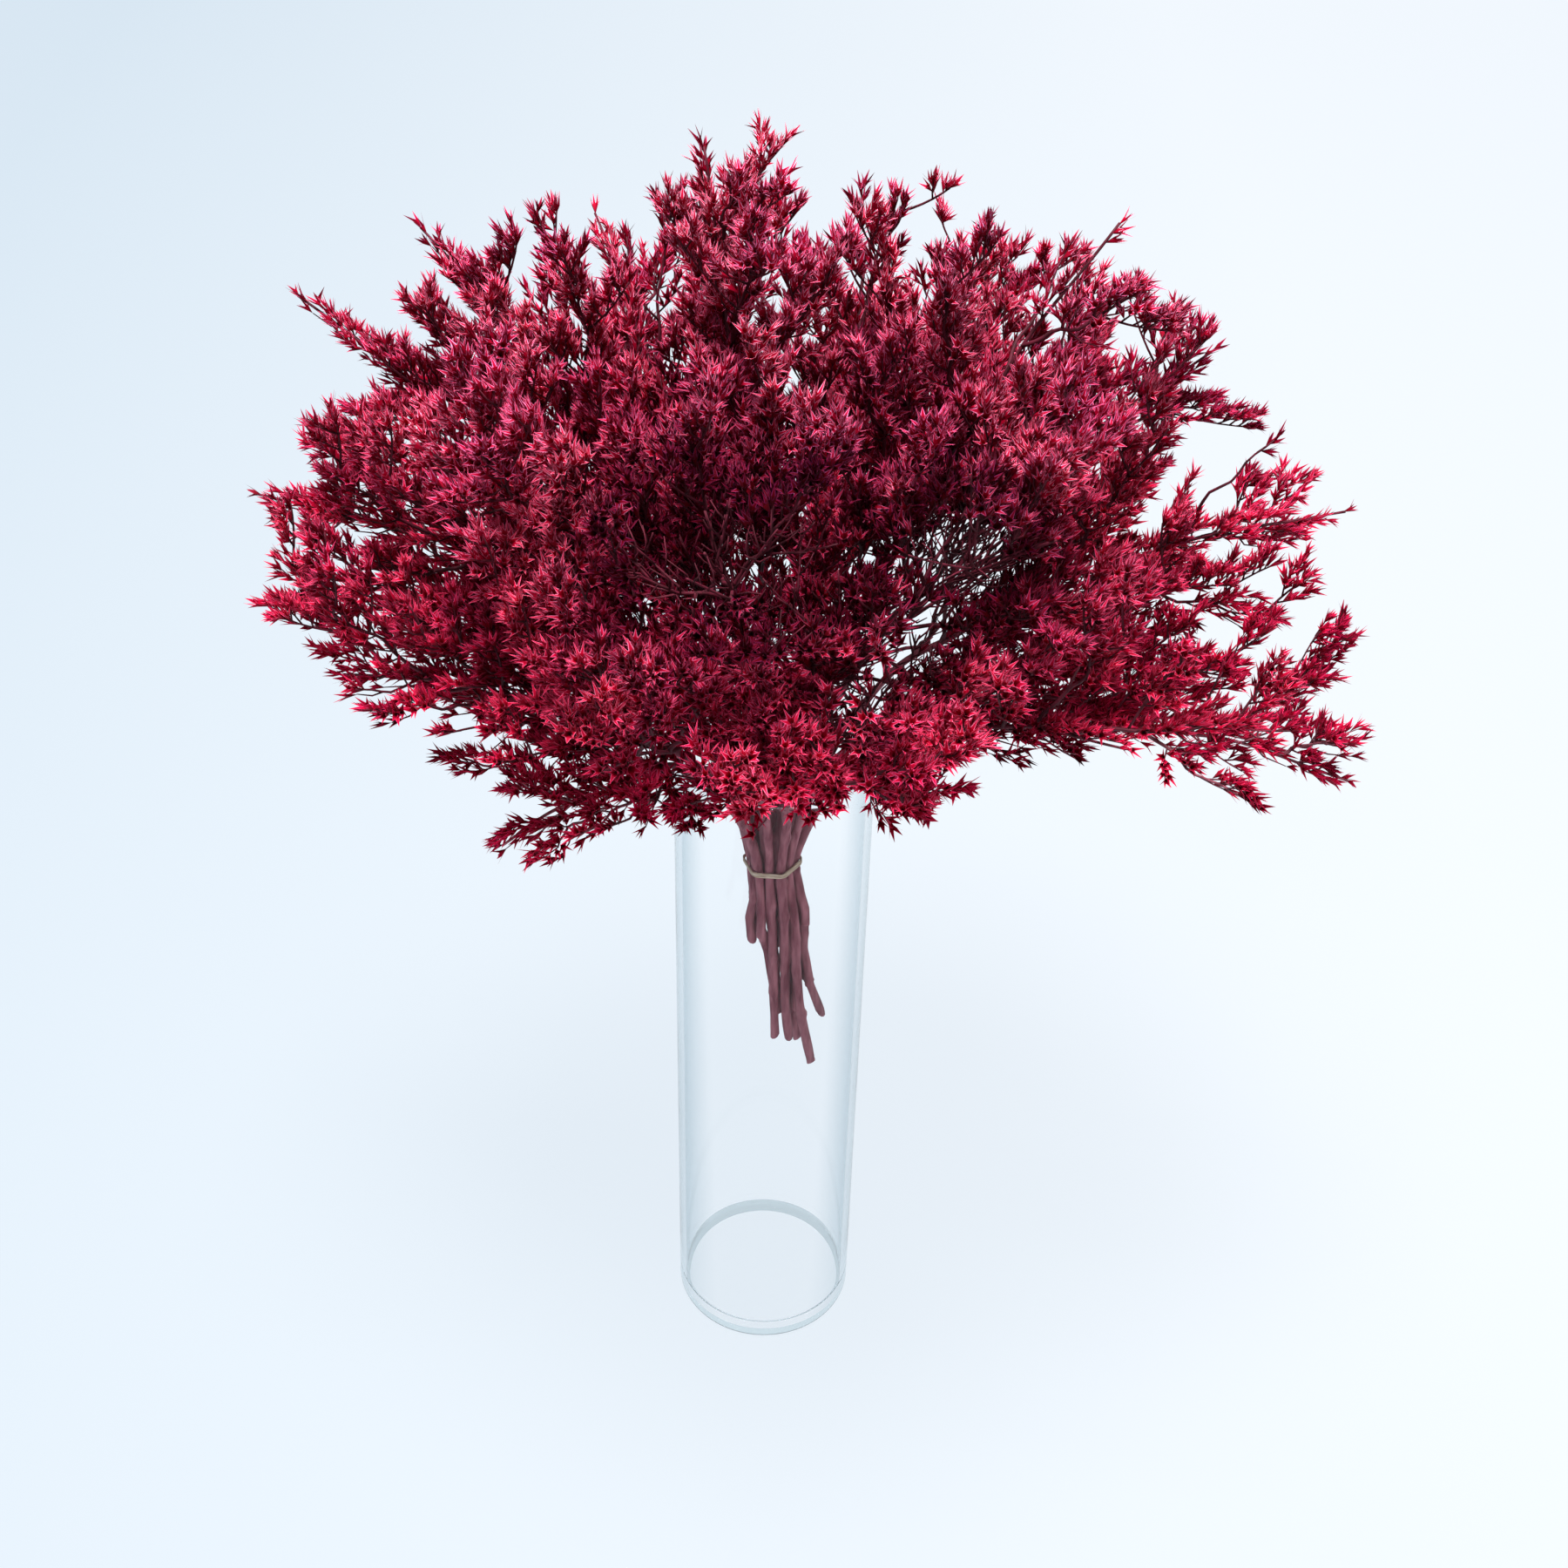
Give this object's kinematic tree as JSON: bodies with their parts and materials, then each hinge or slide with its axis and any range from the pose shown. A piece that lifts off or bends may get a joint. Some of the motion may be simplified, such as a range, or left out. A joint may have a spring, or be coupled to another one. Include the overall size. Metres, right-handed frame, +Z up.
{
  "type": "dried statice bunch in glass vase",
  "caption": "Full bunch of crimson-dyed dried statice, tied with raffia and standing in a tall clear glass cylinder vase.",
  "frame": {"origin": "centre of the vase's foot, on the surface that it stands on", "axes": "+Z up along the vase's axis, +X to the right and +Y to the back of the bunch as it is shown"},
  "size_m": [0.3934, 0.3203, 0.528],
  "materials": {
    "glass": "clear, thick at the foot",
    "raffia": "dry natural fibre with lighter streaks",
    "dyed_statice": "dry plant stems and papery flowers, dyed crimson"
  },
  "bodies": {
    "root": {"vase": "glass", "tie": "raffia", "spray_01": "dyed_statice", "spray_02": "dyed_statice", "spray_03": "dyed_statice", "spray_04": "dyed_statice", "spray_05": "dyed_statice", "spray_06": "dyed_statice", "spray_07": "dyed_statice", "spray_08": "dyed_statice", "spray_09": "dyed_statice", "spray_10": "dyed_statice", "spray_11": "dyed_statice", "spray_12": "dyed_statice", "spray_13": "dyed_statice", "spray_14": "dyed_statice", "spray_15": "dyed_statice", "spray_16": "dyed_statice", "spray_17": "dyed_statice", "spray_18": "dyed_statice", "spray_19": "dyed_statice"}
  },
  "joints": []
}
